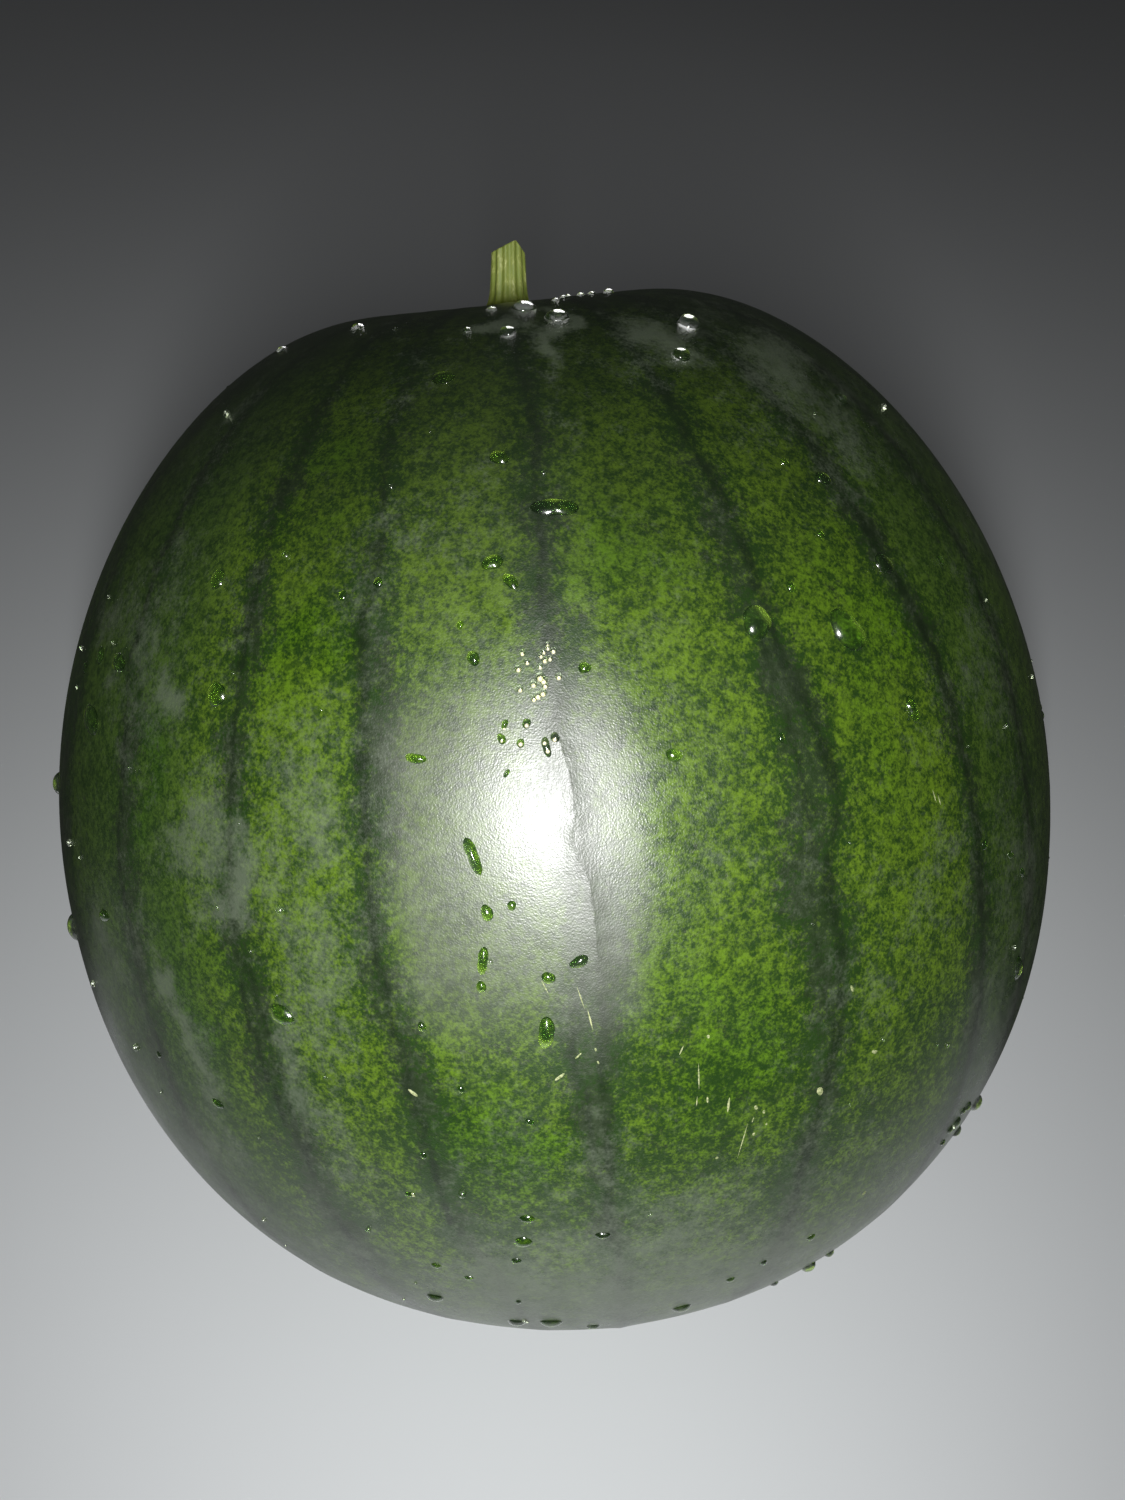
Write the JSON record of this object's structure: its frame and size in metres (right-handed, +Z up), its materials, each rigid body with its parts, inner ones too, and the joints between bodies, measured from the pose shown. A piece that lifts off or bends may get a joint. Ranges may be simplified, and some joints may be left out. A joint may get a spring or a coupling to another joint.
{
  "type": "sugar baby watermelon",
  "caption": "Whole small round watermelon with dark striped green rind and a cut stem stub, lying slightly tipped back on a flat spot.",
  "frame": {"origin": "centre of the small flat spot that the melon rests on", "axes": "+Z up, -Y to the front that the picture shows, +X to the picture's right; the stem end leans back by 25 degrees"},
  "size_m": [0.1709, 0.1739, 0.1796],
  "materials": {
    "rind": "satin waxy rind, mottled mid green with ragged dark green stripes and a grey bloom, wet in places",
    "stem": "pale yellow-green ribbed stalk, matte"
  },
  "bodies": {
    "root": {"fruit": "rind", "stem": "stem"}
  },
  "joints": []
}
